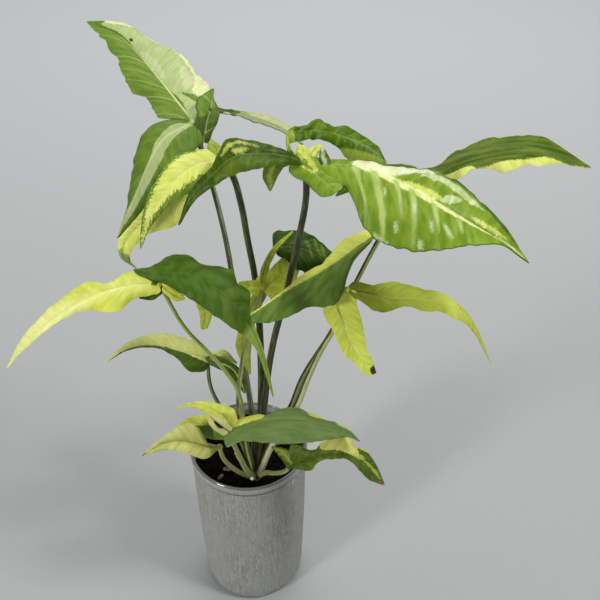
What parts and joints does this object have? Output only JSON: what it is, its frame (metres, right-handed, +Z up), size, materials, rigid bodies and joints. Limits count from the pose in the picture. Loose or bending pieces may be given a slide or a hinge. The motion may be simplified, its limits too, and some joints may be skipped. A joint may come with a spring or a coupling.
{
  "type": "potted arrowhead vine",
  "caption": "Small potted arrowhead vine: narrow lobed leaves in green, lime and cream, arching on slim stalks from a crown in a round glazed grey pot filled with soil.",
  "frame": {"origin": "centre of the pot's flat underside", "axes": "+Z up, along the pot's axis, from its foot to its rim and on to the leaves; +X to the viewer's right in the picture, towards the longest leaf; -Y towards the viewer"},
  "size_m": [0.3597, 0.221, 0.4295],
  "materials": {
    "pot_glaze": "thin grey stoneware glaze: combed and satin on the body, glossy and darker on the rim",
    "soil": "damp, near-black potting soil",
    "bark": "split bark chips",
    "petiole": "waxy leaf stalk, dark green with pale stripes",
    "leaf_green": "satin leaf, dark to mid green splashed with cream and grey-green",
    "leaf_lime": "satin leaf, lime to yellow-green with darker green patches"
  },
  "bodies": {
    "root": {"pot": "pot_glaze", "soil": "soil", "bark_chip_1": "bark", "bark_chip_2": "bark", "bark_chip_3": "bark", "bark_chip_4": "bark", "stem_and_petioles": "petiole", "leaf_high_left": "leaf_green", "leaf_yellow_left": "leaf_lime", "leaf_high_centre": "leaf_green", "leaf_high_right": "leaf_green", "leaf_lime_left": "leaf_lime", "leaf_mid_right": "leaf_lime", "leaf_mid_centre": "leaf_lime", "leaf_low_back_left": "leaf_green", "leaf_low_cream": "leaf_lime", "leaf_low_front": "leaf_green", "leaf_low_right": "leaf_green"}
  },
  "joints": []
}
